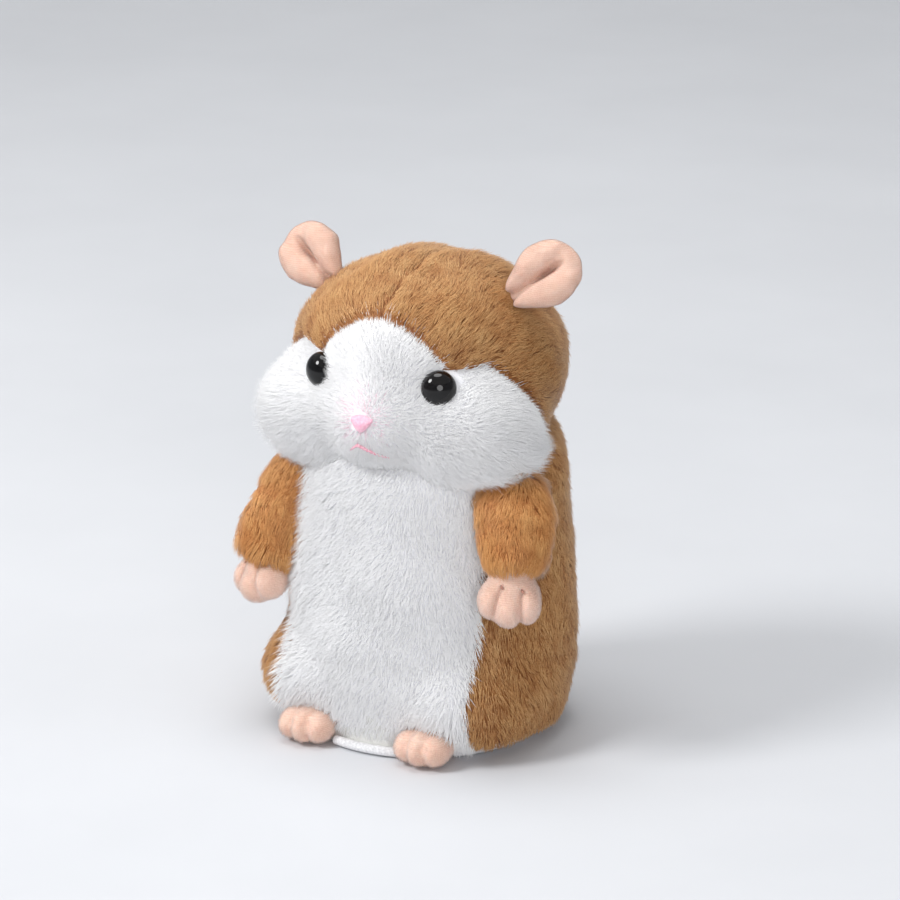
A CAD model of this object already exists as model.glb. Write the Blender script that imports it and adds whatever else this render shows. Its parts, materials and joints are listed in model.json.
import json
import math

import bmesh
import bpy
import numpy as np
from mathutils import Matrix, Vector
from mathutils.kdtree import KDTree


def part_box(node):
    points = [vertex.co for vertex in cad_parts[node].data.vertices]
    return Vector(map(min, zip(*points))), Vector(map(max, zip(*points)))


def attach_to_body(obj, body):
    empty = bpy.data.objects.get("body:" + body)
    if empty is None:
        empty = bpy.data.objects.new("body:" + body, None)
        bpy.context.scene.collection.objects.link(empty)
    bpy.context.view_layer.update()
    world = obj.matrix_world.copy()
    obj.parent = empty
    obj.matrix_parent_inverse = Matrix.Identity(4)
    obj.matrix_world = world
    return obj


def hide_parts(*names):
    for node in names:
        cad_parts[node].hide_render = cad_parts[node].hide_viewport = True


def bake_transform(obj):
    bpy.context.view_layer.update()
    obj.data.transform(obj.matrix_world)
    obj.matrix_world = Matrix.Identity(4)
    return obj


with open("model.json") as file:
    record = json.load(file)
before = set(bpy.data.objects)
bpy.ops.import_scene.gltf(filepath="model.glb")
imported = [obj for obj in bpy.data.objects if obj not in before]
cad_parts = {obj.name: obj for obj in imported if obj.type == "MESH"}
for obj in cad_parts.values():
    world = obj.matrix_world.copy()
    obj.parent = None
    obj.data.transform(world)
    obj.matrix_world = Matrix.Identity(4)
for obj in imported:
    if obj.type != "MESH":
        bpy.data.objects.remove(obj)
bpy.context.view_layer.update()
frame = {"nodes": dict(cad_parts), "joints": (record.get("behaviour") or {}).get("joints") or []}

# Lengths in this script are millimetres, and points are turned into metres as a mesh is made.
MM = 0.001
SIDES = {"left": 1.0, "right": -1.0}


def strands(full):
    return full


def vec(*v):
    return np.array(v, float)


def unit(v):
    v = np.asarray(v, float)
    return v / np.maximum(np.linalg.norm(v, axis=-1, keepdims=True), 1e-9)


def low(node):
    return np.array(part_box(node)[0]) / MM


def high(node):
    return np.array(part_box(node)[1]) / MM


def mid(node):
    return (low(node) + high(node)) / 2


# ---- Places, taken from the frame ----

EYE = mid("eye_left")
NOSE = mid("nose")
MOUTH = mid("mouth_thread")
EYE_R = (high("eye_left")[0] - low("eye_left")[0]) / 2
HEAD = vec(0, (low("face_plush")[1] + high("head_back_plush")[1]) / 2, EYE[2] + 0.5)
BODY_Y = (low("skirt_front_plush")[1] + high("skirt_back_plush")[1]) / 2
PAW = mid("paw_left")
FOOT = mid("foot_left")
JOINT = {j["name"]: j for j in frame["joints"]}
SHOULDER = np.array(JOINT["arm_left_swing"]["pos_m"]) / MM
ARM = unit(PAW - SHOULDER)
SEAM_Z = high("skirt_back_plush")[2]  # where the lower skin is sewn to the upper one


# ---- Smooth fields ----


class Waves:
    """Smooth noise in space: a sum of sines in random directions, between about -1 and 1."""

    def __init__(self, seed, size, count=9):
        rng = np.random.default_rng(seed)
        k = unit(rng.normal(size=(count, 3)))
        self.k = k * (2 * math.pi / size) * rng.uniform(0.6, 1.5, (count, 1))
        self.phase = rng.uniform(0, 2 * math.pi, count)

    def __call__(self, p):
        p = np.asarray(p, float)
        return np.sin(p @ self.k.T + self.phase).mean(-1) * 2.2


def ellipsoid(p, centre, radii):
    q = (p - centre) / radii
    k0 = np.linalg.norm(q, axis=-1)
    k1 = np.linalg.norm(q / radii, axis=-1)
    return k0 * (k0 - 1) / np.maximum(k1, 1e-9)


def smooth_union(a, b, k):
    h = np.clip(0.5 + 0.5 * (b - a) / k, 0, 1)
    return b * (1 - h) + a * h - k * h * (1 - h)


def blob_field(blobs, k, shape=ellipsoid):
    def field(p):
        d = shape(p, *blobs[0])
        for b in blobs[1:]:
            d = smooth_union(d, shape(p, *b), k)
        return d

    return field


def above(field, z, k):
    """The part of a form that lies above height z, with a rounded edge."""
    return lambda p: -smooth_union(-field(p), p[..., 2] - z, k)


def icosphere(level):
    bm = bmesh.new()
    bmesh.ops.create_icosphere(bm, subdivisions=level, radius=1)
    v = np.array([x.co for x in bm.verts], float)
    f = np.array([[x.index for x in t.verts] for t in bm.faces], int)
    bm.free()
    return unit(v), f


STEP = 0.8  # share of a field's distance that a ray moves at a time
WRAP_STEPS, POINT_STEPS = 70, 60


def shrink_wrap(field, centre, level, reach=90):
    """A closed skin: rays run inwards to the form's surface."""
    d, f = icosphere(level)
    t = np.full(len(d), float(reach))
    for _ in range(WRAP_STEPS):
        t -= STEP * field(centre + d * t[:, None])
    return centre + d * t[:, None], f


def surface_point(p, field, lift=0.0, direction=(0, -1, 0)):
    """The point of a form's surface met from p along a direction, stood off by lift."""
    d = vec(*direction)
    q = np.asarray(p, float) + d * 30
    for _ in range(POINT_STEPS):
        q = q - d * field(q[None])[0] * STEP
    return q + d * lift


# ---- Meshes ----


def to_object(name, verts, faces, materials=()):
    """A new smooth-shaded object. verts are millimetres."""
    mesh = bpy.data.meshes.new(name)
    mesh.from_pydata((np.asarray(verts) * MM).tolist(), [], [list(map(int, f)) for f in faces])
    mesh.polygons.foreach_set("use_smooth", [True] * len(mesh.polygons))
    for m in materials:
        mesh.materials.append(m)
    mesh.update()
    obj = bpy.data.objects.new(name, mesh)
    bpy.context.scene.collection.objects.link(obj)
    return obj


def apply_modifiers(obj):
    dg = bpy.context.evaluated_depsgraph_get()
    made = bpy.data.meshes.new_from_object(obj.evaluated_get(dg))
    obj.modifiers.clear()
    old, obj.data = obj.data, made
    bpy.data.meshes.remove(old)
    obj.data.polygons.foreach_set("use_smooth", [True] * len(obj.data.polygons))
    return obj


def remesh(obj, size, rounds=2):
    m = obj.modifiers.new("voxels", "REMESH")
    m.mode, m.voxel_size = "VOXEL", size * MM
    s = obj.modifiers.new("smooth", "SMOOTH")
    s.factor, s.iterations = 0.5, rounds
    return apply_modifiers(obj)


SIM_SCALE = 20.0  # small pads are simulated at the size of a cushion
SIM_FRAMES = 20
PRESSURE = 4.0
PAD_VOXEL = 0.5


def plump(v, f, held, cap):
    """Stuffing presses a felt pad outwards while its stitches hold: held(p) is true at the stitches."""
    pad = to_object("pad", v, f)
    remesh(pad, PAD_VOXEL)
    start = np.array([x.co for x in pad.data.vertices], float)
    group = pad.vertex_groups.new(name="held")
    group.add([int(i) for i in np.flatnonzero(held(start / MM))], 1.0, "REPLACE")
    pad.data.vertices.foreach_set("co", (start * SIM_SCALE).ravel())
    pad.data.update()
    cloth = pad.modifiers.new("cloth", "CLOTH")
    cloth.settings.use_pressure = True
    cloth.settings.uniform_pressure_force = PRESSURE
    cloth.settings.effector_weights.gravity = 0
    cloth.settings.vertex_group_mass = "held"
    cloth.point_cache.frame_end = SIM_FRAMES
    for frame_number in range(1, SIM_FRAMES + 1):
        bpy.context.scene.frame_set(frame_number)
    swollen = pad.evaluated_get(bpy.context.evaluated_depsgraph_get()).to_mesh()
    end = np.array([x.co for x in swollen.vertices], float) / SIM_SCALE
    pad.modifiers.clear()
    bpy.context.scene.frame_set(1)
    move = (end - start) / MM
    size = np.linalg.norm(move, axis=1, keepdims=True)
    move = np.nan_to_num(move * np.minimum(1, cap / np.maximum(size, 1e-6)))
    pad.data.vertices.foreach_set("co", (start + move * MM).ravel())
    pad.data.update()
    pad.modifiers.new("fine", "SUBSURF").levels = 1
    apply_modifiers(pad)
    out = triangles_of(pad)
    bpy.data.objects.remove(pad)
    return out


def normals_of(v, f):
    n = np.cross(v[f[:, 1]] - v[f[:, 0]], v[f[:, 2]] - v[f[:, 0]])
    out = np.zeros_like(v)
    for i in range(3):
        np.add.at(out, f[:, i], n)
    return unit(out)


def triangles_of(obj):
    obj.data.calc_loop_triangles()
    v = np.array([x.co for x in obj.data.vertices], float) / MM
    f = np.array([t.vertices for t in obj.data.loop_triangles], int)
    return v, f


def tube(path, radius, sides=8):
    """A round cord along a path: verts and faces. radius is a number or one for each point."""
    path = np.asarray(path, float)
    n = len(path)
    radius = np.broadcast_to(radius, (n,))
    t = unit(np.gradient(path, axis=0))
    ref = vec(0.31, 0.52, 0.79)
    s = unit(np.cross(t, ref))
    b = np.cross(t, s)
    a = np.arange(sides) * 2 * math.pi / sides
    ring = np.cos(a)[None, :, None] * s[:, None] + np.sin(a)[None, :, None] * b[:, None]
    v = (path[:, None] + ring * radius[:, None, None]).reshape(-1, 3)
    f = []
    for i in range(n - 1):
        for j in range(sides):
            k = (j + 1) % sides
            f.append([i * sides + j, i * sides + k, (i + 1) * sides + k, (i + 1) * sides + j])
    f.append(list(range(sides))[::-1])
    f.append([(n - 1) * sides + j for j in range(sides)])
    return v, f


def join_parts(parts):
    v, f, n = [], [], 0
    for pv, pf in parts:
        v.append(pv)
        f += [[i + n for i in face] for face in pf]
        n += len(pv)
    return np.concatenate(v), f


# ---- Materials ----


def linear(c):
    c = np.array(c, float) / 255
    return tuple(np.where(c <= 0.04045, c / 12.92, ((c + 0.055) / 1.055) ** 2.4)) + (1.0,)


class Mat:
    """A node material with short calls for the nodes it uses."""

    def __init__(self, name, colour, rough=0.5, metallic=0.0):
        self.mat = bpy.data.materials.new(name)
        self.mat.use_nodes = True
        self.tree = self.mat.node_tree
        self.bsdf = next(n for n in self.tree.nodes if n.type == "BSDF_PRINCIPLED")
        self.set(Base_Color=linear(colour), Roughness=rough, Metallic=metallic)
        self.mat.diffuse_color = linear(colour)

    def set(self, **values):
        for k, v in values.items():
            self.bsdf.inputs[k.replace("_", " ")].default_value = v
        return self

    def node(self, kind, **props):
        n = self.tree.nodes.new(kind)
        for k, v in props.items():
            setattr(n, k, v)
        return n

    def link(self, a, b):
        self.tree.links.new(a, b)

    def coords(self):
        return self.node("ShaderNodeTexCoord").outputs["Object"]

    def noise(self, scale, detail=3.0, rough=0.55, distortion=0.0):
        n = self.node("ShaderNodeTexNoise")
        n.inputs["Scale"].default_value = scale
        n.inputs["Detail"].default_value = detail
        n.inputs["Roughness"].default_value = rough
        n.inputs["Distortion"].default_value = distortion
        self.link(self.coords(), n.inputs["Vector"])
        return n.outputs["Fac"]

    def wave(self, scale, axis, distortion=1.0):
        n = self.node("ShaderNodeTexWave", bands_direction=axis)
        n.inputs["Scale"].default_value = scale
        n.inputs["Distortion"].default_value = distortion
        n.inputs["Detail"].default_value = 2
        self.link(self.coords(), n.inputs["Vector"])
        return n.outputs["Fac"]

    def ramp(self, fac, *stops):
        n = self.node("ShaderNodeValToRGB")
        while len(n.color_ramp.elements) < len(stops):
            n.color_ramp.elements.new(0.5)
        for e, (at, c) in zip(n.color_ramp.elements, stops):
            e.position, e.color = at, linear(c)
        self.link(fac, n.inputs["Fac"])
        return n.outputs["Color"]

    def math(self, kind, a, b):
        n = self.node("ShaderNodeMath", operation=kind)
        for s, v in zip(n.inputs, (a, b)):
            if isinstance(v, (int, float)):
                s.default_value = v
            else:
                self.link(v, s)
        return n.outputs[0]

    def span(self, fac, lo, hi):
        n = self.node("ShaderNodeMapRange")
        n.inputs["To Min"].default_value = lo
        n.inputs["To Max"].default_value = hi
        self.link(fac, n.inputs["Value"])
        return n.outputs["Result"]

    def bump(self, height, strength, distance):
        n = self.node("ShaderNodeBump")
        n.inputs["Strength"].default_value = strength
        n.inputs["Distance"].default_value = distance * MM
        self.link(height, n.inputs["Height"])
        self.link(n.outputs["Normal"], self.bsdf.inputs["Normal"])
        return self

    def colour(self, socket):
        self.link(socket, self.bsdf.inputs["Base Color"])
        return self

    def rough(self, socket):
        self.link(socket, self.bsdf.inputs["Roughness"])
        return self


def fibre(name, colour, glow=0.0):
    """One fibre's material. Light passes from fibre to fibre in a pale pile: glow stands in for that."""
    m = Mat(name, colour, 0.62).set(Sheen_Weight=0.35, Sheen_Roughness=0.45)
    if glow:
        m.set(Subsurface_Weight=0.3, Subsurface_Radius=(1, 1, 1), Subsurface_Scale=1.2 * MM)
        m.set(Emission_Color=linear(colour), Emission_Strength=glow)
    return m.mat


def backing_cloth(name, dark, light):
    """The knitted backing that the pile stands on."""
    m = Mat(name, dark, 0.95).set(Sheen_Weight=0.2)
    weave = m.math("MULTIPLY", m.wave(900, "X", 0.4), m.wave(900, "Z", 0.4))
    mixed = m.math("ADD", m.math("MULTIPLY", weave, 0.4), m.math("MULTIPLY", m.noise(260), 0.6))
    m.colour(m.ramp(mixed, (0.2, dark), (0.8, light)))
    return m.bump(weave, 0.5, 0.15).mat


def felt(name, dark, base, light):
    """Short brushed nylon: a fine knit rib, a soft nap and a little mottling."""
    m = Mat(name, base, 0.9).set(Sheen_Weight=0.5, Sheen_Roughness=0.4)
    m.set(Subsurface_Weight=0.3, Subsurface_Radius=(1, 0.5, 0.35), Subsurface_Scale=1.5 * MM)
    nap = m.noise(1700, 5, 0.7)
    cloud = m.noise(190, 3, 0.6)
    rib = m.math("MULTIPLY", m.wave(560, "Z", 1.4), m.span(m.wave(560, "X", 1.4), 0.55, 1.0))
    mixed = m.math("ADD", m.math("MULTIPLY", cloud, 0.45), m.math("MULTIPLY", nap, 0.35))
    mixed = m.math("ADD", mixed, m.math("MULTIPLY", rib, 0.2))
    m.colour(m.ramp(mixed, (0.28, dark), (0.5, base), (0.70, light)))
    m.rough(m.span(nap, 0.8, 1.0))
    height = m.math("ADD", m.math("MULTIPLY", nap, 0.55), m.math("MULTIPLY", rib, 0.45))
    return m.bump(height, 0.65, 0.12).mat


def thread(name, dark, light):
    m = Mat(name, light, 0.6).set(Sheen_Weight=0.4)
    m.colour(m.ramp(m.noise(1400, 4), (0.3, dark), (0.7, light)))
    return m.bump(m.wave(1500, "DIAGONAL", 2.0), 0.6, 0.08).mat


def plastic(name, dark, light, rough=0.4, grain=0.5):
    m = Mat(name, light, rough)
    m.colour(m.ramp(m.noise(60, 4), (0.25, dark), (0.75, light)))
    m.rough(m.span(m.noise(420, 4), rough - 0.08, rough + 0.12))
    return m.bump(m.noise(2600, 3), grain, 0.05).mat


def metal(name, dark, light, rough=0.28):
    m = Mat(name, light, rough, 1.0)
    m.colour(m.ramp(m.noise(140, 4), (0.3, dark), (0.7, light)))
    m.rough(m.span(m.noise(900, 5, 0.7), rough - 0.1, rough + 0.18))
    return m.bump(m.wave(1800, "Y", 3.0), 0.15, 0.03).mat


# ---- Fur ----

SHADES = 5
SOFTNESS = 0.65  # how far a strand is lit like the surface it stands on


def lerp(a, b, t):
    return [x + (y - x) * t for x, y in zip(a, b)]


def coat(name, root_dark, root_light, tip_dark, tip_light, glow=0.0):
    """Materials for one kind of pile: SHADES for the lower part of a strand, then SHADES for its tip."""
    steps = [i / (SHADES - 1) for i in range(SHADES)]
    roots = [fibre(f"{name}_root_{i}", lerp(root_dark, root_light, t), glow) for i, t in enumerate(steps)]
    tips = [fibre(f"{name}_tip_{i}", lerp(tip_dark, tip_light, t), glow) for i, t in enumerate(steps)]
    return roots + tips


def scatter(v, f, count, rng, keep=None):
    """Random points and normals, evenly by area, on a triangle mesh. keep(p) gives the share kept."""
    n = normals_of(v, f)
    a, b, c = v[f[:, 0]], v[f[:, 1]], v[f[:, 2]]
    area = np.linalg.norm(np.cross(b - a, c - a), axis=1) / 2
    total = np.cumsum(area)
    at = (np.arange(count) + rng.random(count)) / count * total[-1]
    tri = np.searchsorted(total, at).clip(0, len(f) - 1)
    u = np.sqrt(rng.random(count))[:, None]
    w = rng.random(count)[:, None]
    bary = (1 - u, u * (1 - w), u * w)
    p = bary[0] * a[tri] + bary[1] * b[tri] + bary[2] * c[tri]
    m = unit(sum(k * n[f[tri, i]] for i, k in enumerate(bary)))
    kept = rng.random(count) < (keep(p) if keep else 1.0)
    return p[kept], m[kept]


KNEE = 0.48  # where a strand bends, as a share of its length


class Pile:
    """Strands of one coat: roots, normals and comb directions, grown into closed, tapered spikes.

    lean and droop are the angles, in degrees from the skin, of a strand below and above its knee.
    """

    def __init__(self, roots, normals, comb, length, rng, lean=52, droop=14, width=0.20, clump=2.6,
                 gather=0.34, shade_waves=None, jitter=0.22, unruly=9):
        n = len(roots)
        side = unit(np.cross(comb, normals))
        comb = unit(comb - (comb * normals).sum(1)[:, None] * normals)
        comb = unit(comb + side * rng.normal(0, jitter, n)[:, None])
        rise = np.radians(lean + rng.normal(0, unruly, n))[:, None]
        fall = np.radians(droop + rng.normal(0, unruly, n))[:, None]
        length = (length * rng.uniform(0.78, 1.12, n))[:, None]
        knee = roots + KNEE * length * (np.cos(rise) * comb + np.sin(rise) * normals)
        tip = knee + (1 - KNEE) * length * (np.cos(fall) * comb + np.sin(fall) * normals)
        if clump and n > 10:
            self.gather(roots, knee, tip, normals, rng, clump, gather)
        self.roots, self.normals, self.knee, self.tip = roots, normals, knee, tip
        self.width = width * rng.uniform(0.8, 1.25, n)
        tone = 0.5 + 0.16 * rng.normal(size=n)
        if shade_waves is not None:
            tone = tone + 0.22 * shade_waves(roots)
        self.shade = np.clip((tone * SHADES).astype(int), 0, SHADES - 1)

    @staticmethod
    def gather(roots, knee, tip, normals, rng, size, strength):
        """Tips lean towards a guide strand nearby, so that the pile falls into small locks."""
        n = len(roots)
        area = 3.0 * size * size
        count = int(max(6, min(n / 4, n / max(1.0, area))))
        guide = rng.choice(n, count, replace=False)
        tree = KDTree(count)
        for i, g in enumerate(guide):
            tree.insert(roots[g], i)
        tree.balance()
        near = np.array([tree.find(r)[1] for r in roots])
        g = guide[near]
        same = (normals * normals[g]).sum(1) > 0.6
        pull = strength * rng.uniform(0.5, 1.3, n) * same
        aim_tip = tip[g] + 0.30 * (roots - roots[g])
        aim_knee = knee[g] + 0.75 * (roots - roots[g])
        knee += (aim_knee - knee) * (0.45 * pull)[:, None]
        tip += (aim_tip - tip) * pull[:, None]

    def build(self, name, coat_materials, sink=0.5, softness=SOFTNESS):
        n = len(self.roots)
        t0 = unit(self.knee - self.roots)
        s0 = unit(np.cross(t0, self.normals) + 1e-6)
        b0 = np.cross(t0, s0)
        t1 = unit(self.tip - self.roots)
        s1 = unit(np.cross(t1, self.normals) + 1e-6)
        b1 = np.cross(t1, s1)
        w = (self.width / 2)[:, None]
        v = np.empty((n, 7, 3))
        base = self.roots - sink * self.normals
        for i in range(3):
            a = 2 * math.pi * i / 3 + 0.5
            v[:, i] = base + w * (math.cos(a) * s0 + math.sin(a) * b0)
            v[:, 3 + i] = self.knee + 0.85 * w * (math.cos(a) * s1 + math.sin(a) * b1)
        v[:, 6] = self.tip
        loops = np.array([2, 1, 0, 0, 1, 4, 3, 1, 2, 5, 4, 2, 0, 3, 5, 3, 4, 6, 4, 5, 6, 5, 3, 6])
        starts = np.array([0, 3, 7, 11, 15, 18, 21])
        mesh = bpy.data.meshes.new(name)
        mesh.vertices.add(7 * n)
        mesh.vertices.foreach_set("co", (v * MM).astype(np.float32).ravel())
        mesh.loops.add(24 * n)
        index = (loops[None] + 7 * np.arange(n)[:, None]).ravel()
        mesh.loops.foreach_set("vertex_index", index.astype(np.int32))
        mesh.polygons.add(7 * n)
        first = (starts[None] + 24 * np.arange(n)[:, None]).ravel()
        mesh.polygons.foreach_set("loop_start", first.astype(np.int32))
        slot = np.empty((n, 7), np.int32)
        slot[:, :4] = self.shade[:, None]
        slot[:, 4:] = self.shade[:, None] + SHADES
        for m in coat_materials:
            mesh.materials.append(m)
        mesh.polygons.foreach_set("material_index", slot.ravel())
        mesh.polygons.foreach_set("use_smooth", np.ones(7 * n, bool))
        mesh.update(calc_edges=True)
        own = unit(v - np.stack([self.roots] * 3 + [self.knee] * 3 + [self.tip - self.normals], 1))
        soft = unit(self.normals[:, None] * softness + own * (1 - softness))
        mesh.normals_split_custom_set_from_vertices(soft.reshape(-1, 3).tolist())
        obj = bpy.data.objects.new(name, mesh)
        bpy.context.scene.collection.objects.link(obj)
        return obj


def comb_from(p, normals, source):
    """Directions along the surface that lead away from a point."""
    d = unit(p - source)
    return unit(d - (d * normals).sum(1)[:, None] * normals)


def comb_along(normals, direction):
    d = np.broadcast_to(direction, normals.shape)
    return unit(d - (d * normals).sum(1)[:, None] * normals)


# ---- Colours ----

BROWN = ((144, 84, 37), (184, 125, 66), (182, 125, 69), (215, 168, 111))
SLEEVE_BROWN = ((162, 88, 35), (201, 127, 61), (198, 126, 63), (229, 170, 104))
WHITE = ((240, 240, 242), (250, 250, 252), (248, 248, 250), (255, 255, 255))
BLUSH = ((246, 206, 220), (250, 220, 230), (250, 220, 230), (254, 236, 242))

MATS = {
    "brown": coat("pile_brown", *BROWN),
    "sleeve": coat("pile_sleeve", *SLEEVE_BROWN),
    "white": coat("pile_white", *WHITE, glow=0.11),
    "blush": coat("pile_blush", *BLUSH, glow=0.11),
    "brown_cloth": backing_cloth("brown_backing", (146, 88, 42), (184, 126, 68)),
    "white_cloth": backing_cloth("white_backing", (236, 236, 240), (252, 252, 254)),
    "felt": felt("peach_felt", (214, 171, 150), (230, 194, 175), (241, 212, 196)),
    "felt_fuzz": fibre("peach_fuzz", (246, 212, 196)),
    "pink_thread": thread("pink_thread", (228, 154, 172), (246, 192, 206)),
    "nose_thread": thread("nose_floss", (240, 168, 194), (250, 206, 220)),
    "knot_thread": thread("toe_thread", (150, 96, 80), (196, 140, 120)),
}


def attach(obj, body, slot, *nodes):
    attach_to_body(obj, body)
    if nodes:
        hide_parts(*nodes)
    return obj


# ---- Head ----

BROW_LOW, BLAZE_RISE, BLAZE_X = EYE[2] + 4.6, 11.8, -1.2
BROW_LEFT, BROW_RIGHT = 23.2, 18.0  # from the blaze's middle to the low point over each eye
JOWL_Z = NOSE[2] - 4.6


def brow(x):
    """Height of the edge between the white face and the brown crown: a dome between two low points."""
    half = np.where(x > BLAZE_X, BROW_LEFT, BROW_RIGHT)
    a = np.abs(x - BLAZE_X) / half
    blaze = BLAZE_RISE * (1 - np.minimum(a, 1) ** 2)
    outer = 2.0 * (0.5 - 0.5 * np.cos(math.pi * np.clip((a - 1) * half / 12, 0, 1)))
    return BROW_LOW + blaze + outer


def cheek_back(z):
    """How far back the white reaches at height z."""
    up = np.clip((z - JOWL_Z) / 23, 0, 1) ** 1.3
    down = np.clip((JOWL_Z - 2 - z) / 13, 0, 2) ** 2
    return -4.5 - 13 * up - 3.5 * down


def face_edge(p):
    """Signed distance, in about millimetres, to the edge of the white face: below zero inside it."""
    return np.maximum(p[..., 2] - brow(p[..., 0]), p[..., 1] - cheek_back(p[..., 2]))


SKULL = (HEAD + vec(0, 5, -1.7), vec(39.5, 36.0, 29.7))
CHEEK_AT, CHEEK_R = vec(22, -11, JOWL_Z + 0.5), vec(20.5, 19.5, 17.0)
MUZZLE = (vec(0, -20.6, JOWL_Z + 2), vec(16.5, 17.5, 13.0))
HEAD_BLOBS = [SKULL, (CHEEK_AT, CHEEK_R), (CHEEK_AT * vec(-1, 1, 1), CHEEK_R), MUZZLE]
head_field = blob_field(HEAD_BLOBS, 6.0)
EYES = {1: EYE, -1: EYE * vec(-1, 1, 1) + vec(1.4, 0.4, 0)}


def eye_distance(p):
    return np.minimum(*(np.linalg.norm(p - at, axis=-1) for at in EYES.values()))


head_v, head_f = shrink_wrap(head_field, HEAD, 5)
head_n = normals_of(head_v, head_f)
lumps = Waves(3, 24)
edge = face_edge(head_v)
dent = 0.5 * np.exp(-((edge / 1.8) ** 2)) + 1.6 * np.exp(-((eye_distance(head_v) / 6.0) ** 2))
dent += 0.3 * np.exp(-((head_v[:, 0] / 1.8) ** 2)) * (edge > 0)
head_v = head_v + head_n * (0.5 * lumps(head_v) - dent)[:, None]
head_n = normals_of(head_v, head_f)


PANEL_T = 1.2


def panel(name, v, f, n, inside, material):
    """One sewn panel of the skin, as a closed sheet with its own thickness."""
    faces = f[inside]
    used, back = np.unique(faces, return_inverse=True)
    faces = back.reshape(faces.shape)
    outer, inner = v[used], v[used] - n[used] * PANEL_T
    count = len(used)
    edges = {}
    for t in faces:
        for i in range(3):
            e = (int(t[i]), int(t[(i + 1) % 3]))
            edges[e] = edges.get(e, 0) + 1
    rim = [e for e in edges if (e[1], e[0]) not in edges]
    out = faces.tolist() + [[x + count for x in t[::-1]] for t in faces.tolist()]
    out += [[b, a, a + count, b + count] for a, b in rim]
    return to_object(name, np.concatenate([outer, inner]), out, [material])


tri_edge = face_edge(head_v[head_f].mean(1))
face_skin = panel("face_panel", head_v, head_f, head_n, tri_edge < 0, MATS["white_cloth"])
attach(face_skin, "carriage", "plush_white", "face_plush", "head_stuffing")
crown_skin = panel("crown_panel", head_v, head_f, head_n, tri_edge >= 0, MATS["brown_cloth"])
attach(crown_skin, "carriage", "plush_brown", "head_back_plush")

swirl_a, swirl_b, tone = Waves(11, 20), Waves(12, 9), Waves(13, 7)


def head_comb(p, n):
    """The pile runs away from the nose, over the crown, and hangs at the back."""
    away = comb_from(p, n, NOSE + vec(0, 4, 0))
    hang = comb_along(n, vec(0, 0.15, -1))
    share = np.clip((p[:, 1] - HEAD[1] - 2) / 24, 0, 1)[:, None]
    d = unit(away * (1 - share) + hang * share)
    part = np.sign(p[:, 0]) * np.exp(-((p[:, 0] / 2.5) ** 2)) * 0.3 * (face_edge(p) > 0)
    d = d + np.outer(part, vec(1, 0, 0))
    side = np.cross(n, d)
    return unit(d + side * (0.45 * swirl_a(p) + 0.25 * swirl_b(p))[:, None])


LID = EYES[-1] + vec(3.2, -0.5, -4.6)  # pile that lies over the lower inner corner of one eye


def lid_share(p):
    return np.exp(-((np.linalg.norm(p - LID, axis=-1) / 3.4) ** 2))


def head_keep(p):
    """No pile grows under an eye or under the nose."""
    lid = 4.7 - 0.9 * np.clip((EYE[2] - p[:, 2]) / 4, 0, 1)
    clear = np.clip((eye_distance(p) - lid) / 0.9, 0, 1)
    nose = np.clip((np.linalg.norm((p - NOSE) * vec(1, 0.6, 1.2), axis=1) - 2.6) / 0.8, 0, 1)
    return clear * nose


CHEEK_PILE, FACE_PILE, CROWN_PILE = 4.2, 4.6, 6.0


def head_length(p):
    """Longer on the cheeks; shorter at the border, on the snout, round the eyes and along the seam."""
    f = face_edge(p)
    white = f < 0
    cheek = np.clip((np.abs(p[:, 0]) - 14) / 20, 0, 1) * np.clip((112 - p[:, 2]) / 16, 0, 1)
    border = np.clip(-f / 5.0, 0, 1)
    length = np.where(white, (FACE_PILE + CHEEK_PILE * cheek) * (0.42 + 0.58 * border), CROWN_PILE)
    snout = np.exp(-((np.linalg.norm(p - NOSE, axis=1) / 11) ** 2))
    length = length * (1 - 0.5 * snout)
    trimmed = 0.45 + 0.55 * np.clip((eye_distance(p) - 4.5) / 5, 0, 1)
    length = length * np.maximum(trimmed, 1.3 * lid_share(p))
    seam = np.exp(-((p[:, 0] / 1.0) ** 2)) * (f > 0)
    return length * (1 - 0.25 * seam) * (1 + 0.10 * lumps(p))


def face_lean(p):
    """The white pile lies flatter where it meets the brown crown."""
    return 26 + 34 * np.clip(-face_edge(p) / 6.0, 0, 1) - 24 * lid_share(p)


HEAD_STRANDS, BODY_STRANDS, SLEEVE_STRANDS = 120000, 105000, 19500


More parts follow.
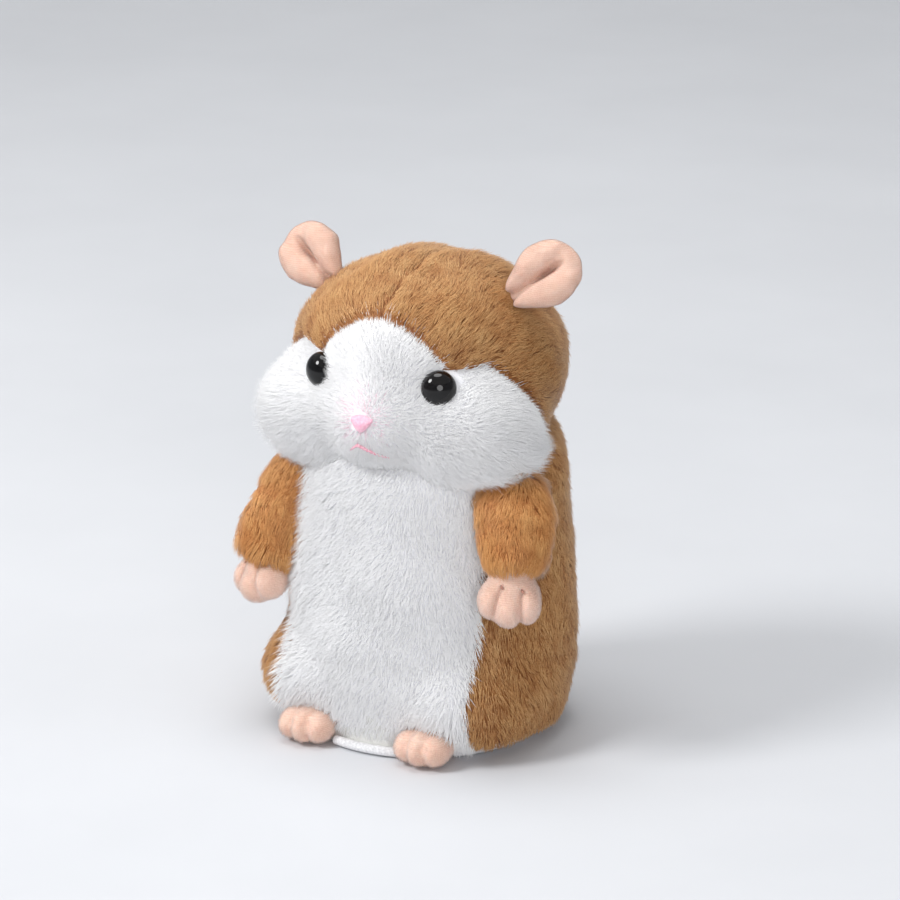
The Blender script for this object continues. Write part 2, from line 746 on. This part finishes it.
def grow_head():
    rng = np.random.default_rng(21)
    p, n = scatter(head_v, head_f, strands(HEAD_STRANDS), rng, head_keep)
    # Pile hidden inside the body or under the chin isn't grown
    seen = above_neck(p)
    p, n = p[seen], n[seen]
    f = face_edge(p) + rng.normal(0, 0.35, len(p))
    zones = {
        "fur_crown_left": (f > 0) & (p[:, 0] >= 0) & (p[:, 1] < HEAD[1]),
        "fur_crown_right": (f > 0) & (p[:, 0] < 0) & (p[:, 1] < HEAD[1]),
        "fur_nape_left": (f > 0) & (p[:, 0] >= 0) & (p[:, 1] >= HEAD[1]),
        "fur_nape_right": (f > 0) & (p[:, 0] < 0) & (p[:, 1] >= HEAD[1]),
    }
    for name, mask in zones.items():
        q, m = p[mask], n[mask]
        pile = Pile(q, m, head_comb(q, m), head_length(q), rng, shade_waves=tone, lean=48, droop=8,
                    gather=0.42)
        attach(pile.build(name, MATS["brown"]), "carriage", "plush_brown")
    white = f <= 0
    pink = np.exp(-((np.linalg.norm((p - NOSE - vec(0, 0, 1)) * vec(1, 0.5, 1.1), axis=1) / 5.6) ** 2))
    tinted = white & (rng.random(len(p)) < 0.85 * pink)
    zones = {
        "fur_face_left": (white & ~tinted & (p[:, 0] >= 0), "white"),
        "fur_face_right": (white & ~tinted & (p[:, 0] < 0), "white"),
        "fur_snout_blush": (tinted, "blush"),
    }
    for name, (mask, kind) in zones.items():
        q, m = p[mask], n[mask]
        pile = Pile(q, m, head_comb(q, m), head_length(q), rng, shade_waves=tone, lean=face_lean(q),
                    droop=0.55 * face_lean(q), width=0.19, gather=0.10, unruly=9, jitter=0.22)
        attach(pile.build(name, MATS[kind], softness=FACE_SOFTNESS), "carriage", "plush_white")


# ---- Body ----

BODY_R = vec(42.6, 39.2)
BODY_AT = BODY_Y + 2.0
BODY_TOP = 97.0
HIP_Z = 26.0  # the widest level
HAUNCHES = [(vec(s * 25, BODY_AT - 18, 16), vec(17.0, 19.0, 17)) for s in (1, -1)]


def body_core(p):
    """An upright, slightly pear-shaped drum with two haunches."""
    z = p[..., 2]
    rise = np.clip((z - HIP_Z) / (BODY_TOP - HIP_Z), 0, 1.2)
    squeeze = 1 - 0.13 * rise**1.6 - 0.02 * np.clip((HIP_Z - z) / HIP_Z, 0, 1) ** 2
    q = np.hypot(p[..., 0] / BODY_R[0], (p[..., 1] - BODY_AT - 3.0 * rise) / BODY_R[1])
    d = (q / squeeze - 1) * BODY_R[1] * squeeze
    d = -smooth_union(-d, -(z - BODY_TOP), 16.0)
    for blob in HAUNCHES:
        d = smooth_union(d, ellipsoid(p, *blob), 6.0)
    return d


FLOOR_GAP = 2.6
body_field = above(body_core, FLOOR_GAP, 6.0)
BODY_CENTRE = vec(0, BODY_AT, 46)
body_v, body_f = shrink_wrap(body_field, BODY_CENTRE, 5)
body_n = normals_of(body_v, body_f)


BELLY_HALF, BELLY_FLARE, FLARE_Z, BELLY_BACK = 30.5, 2.0, 40.0, BODY_AT - 12


def belly_edge(p):
    """Signed distance to the edge of the white belly panel, below zero inside it."""
    half = BELLY_HALF + BELLY_FLARE * np.clip((FLARE_Z - p[..., 2]) / FLARE_Z, 0, 1)
    return np.maximum(np.abs(p[..., 0]) - half, p[..., 1] - BELLY_BACK)


belly = belly_edge(body_v)
puff = Waves(31, 30)
dent = 0.9 * np.exp(-((belly / 2.2) ** 2)) + 0.7 * np.exp(-(((body_v[:, 2] - SEAM_Z) / 2.0) ** 2))
body_v = body_v + body_n * (0.7 * puff(body_v) - dent)[:, None]
body_n = normals_of(body_v, body_f)


def body_blend(obj, slot, *nodes):
    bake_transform(obj)
    if nodes:
        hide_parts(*nodes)
    return obj


BURIED = 1.5  # pile this deep inside the neighbouring form isn't grown


def above_neck(p):
    """True where the head stands clear of the body."""
    return body_core(p) > -BURIED


def outside_head(p):
    return head_field(p) > -BURIED


tri_belly = belly_edge(body_v[body_f].mean(1))
belly_skin = panel("belly_panel", body_v, body_f, body_n, tri_belly < 0, MATS["white_cloth"])
body_blend(belly_skin, "plush_white", "belly_plush", "skirt_front_plush", "body_batting")
back_skin = panel("back_panel", body_v, body_f, body_n, tri_belly >= 0, MATS["brown_cloth"])
body_blend(back_skin, "plush_brown", "back_plush", "skirt_back_plush")


def sleeve_inside(p):
    """True under a sleeve, where the body's own pile is pressed flat and unseen."""
    q = np.stack([np.abs(p[:, 0]), p[:, 1], p[:, 2]], -1) - SHOULDER
    along = q @ ARM
    away = np.linalg.norm(q - np.outer(along, ARM), axis=1)
    return (along > -4) & (along < 22) & (away < 8)


BACK_LOOK = {"lean": 46, "droop": 12, "width": 0.22, "gather": 0.4}
BELLY_LOOK = {"lean": 64, "droop": 42, "width": 0.19, "gather": 0.05, "unruly": 9, "jitter": 0.26}
BELLY_PILE, BACK_PILE = 4.8, 5.4
FACE_SOFTNESS, BELLY_SOFTNESS = 0.8, 0.87


def body_comb(p, n):
    d = comb_along(n, vec(0, 0, -1))
    side = np.cross(n, d)
    return unit(d + side * (0.35 * swirl_a(p) + 0.25 * swirl_b(p))[:, None])


def grow_body():
    rng = np.random.default_rng(41)
    p, n = scatter(body_v, body_f, strands(BODY_STRANDS), rng)
    shown = outside_head(p) & ~sleeve_inside(p) & (p[:, 2] > FLOOR_GAP + 2.2) & ~(n[:, 2] < -0.8)
    p, n = p[shown], n[shown]
    f = belly_edge(p) + rng.normal(0, 0.4, len(p))
    beside = np.clip((np.abs(p[:, 0]) - 20) / 10, 0, 1)
    length = np.where(f < 0, BELLY_PILE + 1.8 * beside, BACK_PILE) * (1 + 0.1 * puff(p))
    length *= 0.6 + 0.4 * np.clip((p[:, 2] - 5) / 9, 0, 1)
    zones = {
        "fur_belly_left": ((f < 0) & (p[:, 0] >= 0), "white"),
        "fur_belly_right": ((f < 0) & (p[:, 0] < 0), "white"),
        "fur_flank_left": ((f >= 0) & (p[:, 0] >= 0) & (p[:, 1] < BODY_AT + 8), "brown"),
        "fur_flank_right": ((f >= 0) & (p[:, 0] < 0) & (p[:, 1] < BODY_AT + 8), "brown"),
        "fur_back_left": ((f >= 0) & (p[:, 0] >= 0) & (p[:, 1] >= BODY_AT + 8), "brown"),
        "fur_back_right": ((f >= 0) & (p[:, 0] < 0) & (p[:, 1] >= BODY_AT + 8), "brown"),
    }
    for name, (mask, kind) in zones.items():
        q, m = p[mask], n[mask]
        soft, look = (BELLY_SOFTNESS, BELLY_LOOK) if kind == "white" else (SOFTNESS, BACK_LOOK)
        pile = Pile(q, m, body_comb(q, m), length[mask], rng, shade_waves=tone, **look)
        body_blend(pile.build(name, MATS[kind], softness=soft), "plush_" + kind)


# ---- Arms ----

ARM_OUT = unit(np.cross(ARM, vec(0, 1, 0)))
ARM_FRONT = unit(np.cross(ARM, ARM_OUT))
if ARM_FRONT[1] > 0:
    ARM_FRONT = -ARM_FRONT
ARM_ACROSS = unit(np.cross(ARM_FRONT, ARM))


def arm_point(out, front, down):
    """A point near the left arm: across, to the front, and down from the shoulder."""
    return SHOULDER + ARM_ACROSS * out + ARM_FRONT * front + ARM * down


def oriented(p, centre, radii):
    """An ellipsoid whose axes follow the arm."""
    q = p - centre
    q = np.stack([q @ ARM_ACROSS, q @ ARM_FRONT, q @ ARM], -1)
    return ellipsoid(q, vec(0, 0, 0), radii)


# Each arm has its own cut: the left one narrows to the cuff, and the right one widens
SLEEVES = {
    "left": (19.8, [(vec(-1.5, 0, 1), vec(9.4, 8.8, 10.0)), (vec(0, 0.2, 9), vec(9.2, 9.2, 10.0)),
                    (vec(0.5, 0.4, 15), vec(7.8, 8.4, 9.0))]),
    "right": (24.8, [(vec(-2.0, 0, 1), vec(7.2, 8.2, 10.0)), (vec(-0.6, 0.3, 10), vec(8.8, 9.2, 11.0)),
                     (vec(0, 0.5, 19), vec(9.3, 9.3, 9.0))]),
}


def sleeve_field(name):
    cuff, blobs = SLEEVES[name]
    core = blob_field([(arm_point(*c), r) for c, r in blobs], 4.0, oriented)
    return lambda p: -smooth_union(-core(p), cuff - (p - SHOULDER) @ ARM, 1.6)


def arm_mirror(v, f, side):
    if side > 0:
        return v, f
    return v * vec(-1, 1, 1), f[:, ::-1]


# How far each arm is drawn from its place in the frame, at the shoulder and near the cuff
DRAWN = {
    1: (vec(2.2, 0, 0), vec(0.6, 0, 2.6)),
    -1: (vec(3.4, 1.5, -1.0), vec(2.0, 1.7, -3.8)),
}
CUFF = 24.0


def hang(v, side):
    """The two arms of a sewn toy never hang alike: each is drawn along a little from the shoulder down."""
    q = v * vec(side, 1, 1) - SHOULDER
    share = np.clip((q @ ARM) / CUFF, 0, 1.3)[:, None]
    top, cuff = DRAWN[int(side)]
    return v + (1 - share) * top + share * cuff


def grow_sleeve(name, side):
    rng = np.random.default_rng(61 if side > 0 else 62)
    v, f = shrink_wrap(sleeve_field(name), arm_point(0, 0, 11), 4, 40)
    v, f = arm_mirror(v, f, side)
    v = hang(v, side)
    n = normals_of(v, f)
    v = v + n * (0.5 * Waves(int(63 + side), 14)(v))[:, None]
    arm = ARM * vec(side, 1, 1)
    skin = to_object(f"sleeve_panel_{name}", v, f, [MATS["brown_cloth"]])
    attach(skin, f"arm_{name}", "plush_brown", f"sleeve_{name}", f"arm_stuffing_{name}")
    p, m = scatter(v, f, strands(SLEEVE_STRANDS), rng)
    shown = (m @ arm) < 0.75
    p, m = p[shown], m[shown]
    d = comb_along(m, arm)
    across = np.cross(m, d)
    d = unit(d + across * (0.3 * swirl_a(p * 1.3) + 0.3 * swirl_b(p))[:, None])
    down = (p * vec(side, 1, 1) - SHOULDER) @ ARM
    length = (5.6 + 1.8 * np.clip((down - 12) / 10, 0, 1)) * (1 + 0.16 * tone(p))
    pile = Pile(p, m, d, length, rng, shade_waves=tone, lean=40, droop=4, gather=0.5, jitter=0.16)
    attach(pile.build(f"fur_sleeve_{name}", MATS["sleeve"]), f"arm_{name}", "plush_brown")


PAW_DOWN = float((PAW - SHOULDER) @ ARM)
PAW_TURN = math.radians(28)  # the toes point outwards
PAW_ACROSS = ARM_ACROSS * math.cos(PAW_TURN) - ARM_FRONT * math.sin(PAW_TURN)
PAW_FRONT = ARM_FRONT * math.cos(PAW_TURN) + ARM_ACROSS * math.sin(PAW_TURN)
# In the paw's own frame x runs across it, y to its front and z down the arm
PAW_PADS = [
    (vec(0, -0.6, -8), vec(6.4, 6.0, 9.0)),
    (vec(0, -0.4, -1.2), vec(8.6, 6.4, 7.4)),
    (vec(-5.2, 1.0, 0.8), vec(3.9, 5.2, 5.2)),
    (vec(-0.2, 1.5, 3.4), vec(4.4, 5.5, 5.0)),
    (vec(5.2, 1.0, 2.0), vec(3.8, 5.2, 5.2)),
]
PAW_KNOTS = [(-2.4, -3.6), (3.8, -2.4)]
PAW_GROOVE_ENDS = [(-4.6, 4.6), (3.2, 7.4)]
paw_field = blob_field(PAW_PADS, 1.5)


def groove_distance(p):
    """How far a point of the paw is, seen from its front, from the nearest of the two stitched grooves."""
    q = p[..., (0, 2)]
    best = np.full(q.shape[:-1], 99.0)
    for a, b in zip(PAW_KNOTS, PAW_GROOVE_ENDS):
        a, ab = vec(*a), vec(*b) - vec(*a)
        t = np.clip((q - a) @ ab / (ab @ ab), 0, 1)
        best = np.minimum(best, np.linalg.norm(q - a - t[..., None] * ab, axis=-1))
    return np.where(p[..., 1] > -1, best, 99.0)


def fuzz(name, v, f, count, seed, comb, length=0.75, width=0.11):
    """The fine nap of the felt, seen as a soft edge."""
    rng = np.random.default_rng(seed)
    p, m = scatter(v, f, strands(count), rng)
    pile = Pile(p, m, comb(m), np.full(len(p), length), rng, lean=62, droop=40, width=width, clump=0,
                jitter=0.9)
    return pile.build(name, [MATS["felt_fuzz"]] * (2 * SHADES), sink=0.1)


def paw_to_arm(v):
    return SHOULDER + v[:, :1] * PAW_ACROSS + v[:, 1:2] * PAW_FRONT + (v[:, 2:] + PAW_DOWN) * ARM


def make_paw(name, side):
    v, f = shrink_wrap(paw_field, vec(0, 0, -1), 5, 30)
    n = normals_of(v, f)
    v = v - n * (1.0 * np.exp(-((groove_distance(v) / 0.9) ** 2)))[:, None]
    v, f = plump(v, f, lambda p: (groove_distance(p) < 0.6) | (p[:, 2] < -6), 0.8)
    n = normals_of(v, f)
    v = v - n * (0.35 * np.exp(-((groove_distance(v) / 0.4) ** 2)))[:, None]
    v, f = arm_mirror(paw_to_arm(v), f, side)
    v = hang(v, side)
    paw = to_object(f"felt_paw_{name}", v, f, [MATS["felt"]])
    attach(paw, f"arm_{name}", "felt_peach", f"paw_{name}")
    comb = ARM * vec(side, 1, 1)
    nap = fuzz(f"paw_nap_{name}", v, f, 9000, 71, lambda m: comb_along(m, comb), 0.85, 0.09)
    attach(nap, f"arm_{name}", "felt_peach")
    parts = []
    for x, z in PAW_KNOTS:
        at = surface_point((x, 0, z), paw_field, -0.2, (0, 1, 0))
        path = [at + vec(0.5 * t, 0.35 * math.sin(2 * t), 0.9 * t) for t in np.linspace(-0.8, 0.8, 7)]
        parts.append(tube(path, 0.42 * np.sin(np.linspace(0.35, math.pi - 0.35, 7)), 8))
    kv, kf = join_parts(parts)
    kv = hang(paw_to_arm(kv) * vec(side, 1, 1), side)
    if side < 0:
        kf = [k[::-1] for k in kf]
    knots = to_object(f"paw_knots_{name}", kv, kf, [MATS["knot_thread"]])
    attach(knots, f"arm_{name}", "thread_pink")


# ---- Feet ----


def make_foot(name, side):
    c = FOOT + vec(0, 0.5, 0)
    c[2] = 5.2
    blobs = [
        (c + vec(0, 4, 0.4), vec(8.2, 8.5, 4.8)),
        (c + vec(-5.0, -2.0, 0), vec(3.7, 6.4, 4.4)),
        (c + vec(0, -3.2, 0.1), vec(3.9, 6.6, 4.6)),
        (c + vec(5.0, -2.0, 0), vec(3.7, 6.4, 4.4)),
    ]
    field = above(blob_field(blobs, 1.4), 0.4, 1.2)
    v, f = shrink_wrap(field, c, 5, 30)
    v, f = plump(v, f, lambda p: (p[:, 2] < 1.0) | (p[:, 1] > c[1] + 9), 0.7)
    v, f = arm_mirror(v, f, side)
    foot = to_object(f"felt_foot_{name}", v, f, [MATS["felt"]])
    attach(foot, "base", "felt_peach", f"foot_{name}")
    nap = fuzz(f"foot_nap_{name}", v, f, 4500, 81, lambda m: comb_along(m, vec(0, -1, -0.2)))
    attach(nap, "base", "felt_peach")


# ---- Ears ----

EAR_MID = mid("ear_left") + vec(0.6, 0.2, -0.8)
EAR_AXIS = unit(vec(0.770, 0.217, 0.599))
EAR_OPEN = vec(0.10, -0.95, 0.25)
EAR_OPEN = unit(EAR_OPEN - EAR_AXIS * (EAR_OPEN @ EAR_AXIS))
EAR_SIDE = np.cross(EAR_AXIS, EAR_OPEN)
# In an ear's own frame x runs from root to tip, y across the fold and z out of its mouth
EAR_PADS = [
    (vec(0, 0, -1.6), vec(12.6, 9.3, 3.0)),
    (vec(-0.8, -4.9, 0.5), vec(11.2, 4.9, 4.1)),
    (vec(-0.8, 4.9, 0.5), vec(11.2, 4.9, 4.1)),
    (vec(7.8, 0, -0.8), vec(4.4, 7.6, 3.0)),
]
EAR_MOUTH = (vec(2.6, 0, 3.6), vec(6.6, 1.25, 4.9))
EAR_SEAM_Z, EAR_ROOT_X = -1.8, -10.5
EAR_DROP = {"left": vec(0, 0, 1.5), "right": vec(0, 0, -3.2)}
EAR_TURN = {"left": 0.0, "right": 14.0}
EAR_LENGTH = {"left": 1.0, "right": 0.94}
ear_pad = blob_field(EAR_PADS, 0.9)


def ear_field(p):
    """Two full lobes that meet in a crease, pinched together at the root and open near the tip."""
    narrow = 0.42 + 0.58 * np.clip((p[..., 0] + 12.5) / 13, 0, 1) ** 0.8
    q = np.stack([p[..., 0], p[..., 1] / narrow, p[..., 2]], -1)
    return -0.45 * smooth_union(-ear_pad(q), ellipsoid(q, *EAR_MOUTH), 0.9)


def ear_stitched(p):
    crease = (np.abs(p[:, 1]) < 0.8) & (p[:, 2] > -1) & (p[:, 0] < 9.5)
    return crease | (p[:, 0] < EAR_ROOT_X) | (np.abs(p[:, 2] - EAR_SEAM_Z) < 0.45)


def make_ear(name, side):
    v, f = shrink_wrap(ear_field, vec(0, 0, -2.8), 5, 26)
    v, f = plump(v, f, ear_stitched, 0.9)
    n = normals_of(v, f)
    seam = 0.35 * np.exp(-(((v[:, 2] - EAR_SEAM_Z) / 0.35) ** 2))
    v = v + n * (0.22 * Waves(91 + int(side), 8)(v) - seam)[:, None]
    t = math.radians(EAR_TURN[name])
    out = EAR_OPEN * math.cos(t) - EAR_SIDE * math.sin(t)
    across = np.cross(EAR_AXIS, out)
    v = EAR_MID + v[:, :1] * EAR_AXIS * EAR_LENGTH[name] + v[:, 1:2] * across + v[:, 2:] * out
    v, f = arm_mirror(v, f, side)
    v = v + EAR_DROP[name]
    ear = to_object(f"felt_ear_{name}", v, f, [MATS["felt"]])
    attach(ear, "carriage", "felt_peach", f"ear_{name}")
    axis = EAR_AXIS * vec(side, 1, 1)
    nap = fuzz(f"ear_nap_{name}", v, f, 15000, 93, lambda m: comb_along(m, axis), 0.95, 0.09)
    attach(nap, "carriage", "felt_peach")


# ---- Eyes, nose and mouth ----


def eye_material():
    m = Mat("eye_black", (10, 9, 10), 0.05).set(IOR=1.42)
    m.colour(m.ramp(m.noise(220, 3), (0.3, (6, 6, 7)), (0.8, (18, 15, 15))))
    return m.rough(m.span(m.noise(500, 3), 0.03, 0.09)).mat


MATS["eye"] = eye_material()


def lathe(profile, centre, axis, around=48):
    """A solid turned about an axis, from (radius, height) pairs that start and end on it."""
    axis = unit(axis)
    s = unit(np.cross(axis, vec(0, 0, 1)))
    b = np.cross(axis, s)
    v, f = [centre + axis * profile[0][1]], []
    for r, h in profile[1:-1]:
        for t in np.arange(around) * 2 * math.pi / around:
            v.append(centre + axis * h + r * (math.cos(t) * s + math.sin(t) * b))
    v.append(centre + axis * profile[-1][1])
    rings = len(profile) - 2
    for j in range(around):
        k = (j + 1) % around
        f.append([0, 1 + k, 1 + j])
        for i in range(rings - 1):
            a, b = 1 + i * around, 1 + (i + 1) * around
            f.append([a + j, a + k, b + k, b + j])
        f.append([len(v) - 1, 1 + (rings - 1) * around + j, 1 + (rings - 1) * around + k])
    return np.array(v), f


def make_eye(name, side):
    at = EYES[int(side)]
    axis = unit((at - SKULL[0]) / SKULL[1] ** 2 + vec(0, 0, 0.002))
    surface = surface_point(at * vec(1, 0, 1) + vec(0, -20, 0), head_field)
    r, height = EYE_R, 0.80 * EYE_R
    rim = [(r * 0.86, -2.4), (r * 0.99, -0.9), (r, 0.0)]
    dome = [(r * math.cos(t), height * math.sin(t)) for t in np.radians(range(8, 90, 8))]
    profile = [(0, -2.8)] + rim + dome + [(0, height)]
    v, f = lathe(profile, surface + axis * 0.1, axis)
    eye = to_object(f"eye_dome_{name}", v, f, [MATS["eye"]])
    attach(eye, "carriage", "eye_black", f"eye_{name}")


NOSE_W, NOSE_H, NOSE_X, NOSE_ROWS = 6.2, 4.7, 1.0, 17


def make_nose():
    """A small padded triangle of satin stitches, broad at the top."""
    parts = []
    for i in range(NOSE_ROWS):
        s = (i - (NOSE_ROWS - 1) / 2) / ((NOSE_ROWS - 1) / 2)
        top = NOSE[2] + NOSE_H * 0.42 - 0.9 * s * s
        bottom = NOSE[2] - NOSE_H * 0.58 * (1 - abs(s) ** 1.6) + 0.35 * s * s
        x = NOSE_X + s * NOSE_W / 2
        path = []
        for t in np.linspace(0, 1, 9):
            z = top + (bottom - top) * t
            bulge = 1.5 * math.sin(math.pi * min(max(t, 0.02), 0.98)) ** 0.6 * (1 - 0.55 * s * s)
            path.append(surface_point((x, NOSE[1], z), head_field, 0.2 + bulge))
        parts.append(tube(path, 0.34, 6))
    v, f = join_parts(parts)
    nose = to_object("nose_stitches", v, f, [MATS["nose_thread"]])
    attach(nose, "carriage", "thread_pink", "nose")


MOUTH_LEGS = [(7.2, 4.6), (-3.6, 2.6)]  # how far each leg of the mouth reaches sideways and down
MOUTH_TOP = MOUTH[2] + 2.2
THREAD_R, THREAD_END_R, TWIST_R, TWIST = 0.36, 0.24, 0.22, 26


def make_mouth():
    """Two legs of twisted thread that meet under the nose, a little thicker where they meet."""
    parts = []
    along = np.linspace(0, 1, 34)
    for reach, drop in MOUTH_LEGS:
        for strand in (0, math.pi):
            path = []
            for t in along:
                spot = (reach * t, MOUTH[1], MOUTH_TOP - drop * t**1.25)
                turn = strand + t * TWIST
                coil = vec(math.cos(turn) * 0.4, math.sin(turn), math.cos(turn))
                path.append(surface_point(spot, head_field, 1.5) + TWIST_R * coil)
            parts.append(tube(path, THREAD_R + (THREAD_END_R - THREAD_R) * along, 6))
    v, f = join_parts(parts)
    mouth = to_object("mouth_stitches", v, f, [MATS["pink_thread"]])
    attach(mouth, "carriage", "thread_pink", "mouth_thread")


# ---- The hard parts that the frame already has ----

white_plastic = plastic("moulded_white", (222, 222, 218), (238, 238, 234), 0.42)
cream_plastic = plastic("moulded_cream", (214, 208, 190), (232, 226, 208), 0.45)
acetal = plastic("acetal", (226, 224, 214), (244, 243, 236), 0.32, 0.3)
orange = plastic("acetal_orange", (206, 118, 44), (226, 142, 66), 0.34, 0.3)
black = plastic("moulded_black", (18, 18, 19), (36, 36, 38), 0.4)
steel = metal("steel", (140, 142, 146), (196, 198, 202))
brass = metal("brass", (168, 128, 58), (214, 176, 96), 0.25)
board = plastic("board_green", (16, 74, 44), (30, 104, 66), 0.35, 0.3)
jacket = plastic("cell_jacket", (22, 42, 44), (40, 66, 66), 0.3, 0.2)
red_lead = plastic("lead_red", (150, 20, 24), (186, 34, 36), 0.45, 0.3)
blue_lead = plastic("lead_blue", (26, 52, 130), (44, 78, 170), 0.45, 0.3)
wadding = felt("wadding", (220, 220, 222), (238, 238, 240), (250, 250, 252))
cord = thread("hem_thread", (206, 206, 208), (240, 240, 242))

HARD = {
    white_plastic: ["base_shell", "battery_door", "torso_shell_front", "torso_shell_rear", "neck_post"],
    cream_plastic: ["base_deck", "gearbox_rear_plate", "gearbox_front_plate", "speaker_bracket"],
    acetal: ["idler_gear", "crank_gear", "motor_end_cap"],
    orange: ["crank_disc", "lift_yoke"],
    black: ["switch_knob", "board_components", "speaker_cone", "speaker_frame", "eye_washers"],
    steel: ["chassis_screws", "battery_contacts", "microphone", "switch_case", "motor_can",
            "idler_shaft", "guide_rods", "speaker_magnet", "door_screw", "motor_shaft",
            "crank_shaft", "carriage_screws"],
    brass: ["motor_pinion"],
    board: ["circuit_board"],
    jacket: ["battery_cells"],
    red_lead: ["power_leads"],
    blue_lead: ["signal_leads"],
    cord: ["hem_cord"],
}


def dress_hard_parts():
    for material, names in HARD.items():
        for name in names:
            node = frame["nodes"][name]
            if not node.material_slots:
                node.data.materials.append(material)
            for s in node.material_slots:
                s.material = material
            node.data.polygons.foreach_set("use_smooth", [False] * len(node.data.polygons))


# ---- Stage ----


def make_stage():
    """A round sheet of pale paper that curves up at its edge. Radii and heights here are metres."""
    rings = [(0.0, 0.0), (0.6, 0.0), (1.6, 0.0), (2.6, 0.0)]
    rings += [(3.1, 0.08), (3.5, 0.35), (3.7, 0.9), (3.75, 2.2)]
    around = 96
    v, f = [(0.0, 0.0, 0.0)], []
    for r, z in rings[1:]:
        v += [(r * math.cos(a), r * math.sin(a), z) for a in np.linspace(0, 2 * math.pi, around, False)]
    for j in range(around):
        k = (j + 1) % around
        f.append([0, 1 + j, 1 + k])
        for i in range(len(rings) - 2):
            a, b = 1 + i * around, 1 + (i + 1) * around
            f.append([a + j, b + j, b + k, a + k])
    m = Mat("paper", (206, 208, 212), 0.85)
    m.colour(m.ramp(m.noise(6, 4), (0.3, (203, 205, 209)), (0.7, (209, 211, 215))))
    floor = to_object("floor", np.array(v) / MM, f, [m.mat])


TARGET = vec(9.5, -0.4, 87.0)
CAMERA = vec(674.5, -1176.4, 522.0)
LENS_MM, SENSOR_MM = 189.8, 36.0


def make_camera():
    data = bpy.data.cameras.new("camera")
    data.lens, data.sensor_width = LENS_MM, SENSOR_MM
    data.clip_start, data.clip_end = 0.05, 20
    cam = bpy.data.objects.new("camera", data)
    bpy.context.scene.collection.objects.link(cam)
    cam.location = Vector(CAMERA * MM)
    look = Vector((TARGET - CAMERA) * MM)
    cam.rotation_mode = "QUATERNION"
    cam.rotation_quaternion = look.to_track_quat("-Z", "Y")
    bpy.context.scene.camera = cam


def area_light(name, at, size, power):
    """A round studio light that looks at the toy. Place and size are metres, power is watts."""
    data = bpy.data.lights.new(name, "AREA")
    data.shape, data.size, data.energy = "DISK", size, power
    obj = bpy.data.objects.new(name, data)
    obj.location = at
    aim = Vector((0, 0, 0.08)) - Vector(at)
    obj.rotation_mode = "QUATERNION"
    obj.rotation_quaternion = aim.to_track_quat("-Z", "Y")
    bpy.context.scene.collection.objects.link(obj)


STUDIO_LEVEL = 0.55


def make_lights():
    area_light("key", (-0.75, -0.95, 1.15), 0.55, 16.5)
    area_light("top", (-0.15, 0.1, 1.5), 0.9, 10)
    area_light("fill", (1.0, -1.3, 0.45), 0.9, 9.5)
    world = bpy.data.worlds.new("studio")
    world.use_nodes = True
    back = world.node_tree.nodes["Background"]
    back.inputs["Color"].default_value = (1.0, 1.0, 1.0, 1.0)
    back.inputs["Strength"].default_value = STUDIO_LEVEL
    scene = bpy.context.scene
    scene.world = world
    scene.view_settings.view_transform = "Standard"
    scene.cycles.diffuse_bounces = 10
    scene.cycles.max_bounces = 12


for side_name, side_sign in SIDES.items():
    make_paw(side_name, side_sign)
    make_foot(side_name, side_sign)
    make_ear(side_name, side_sign)
    make_eye(side_name, side_sign)
    grow_sleeve(side_name, side_sign)
grow_head()
grow_body()
make_nose()
make_mouth()
dress_hard_parts()
make_stage()
make_camera()
make_lights()
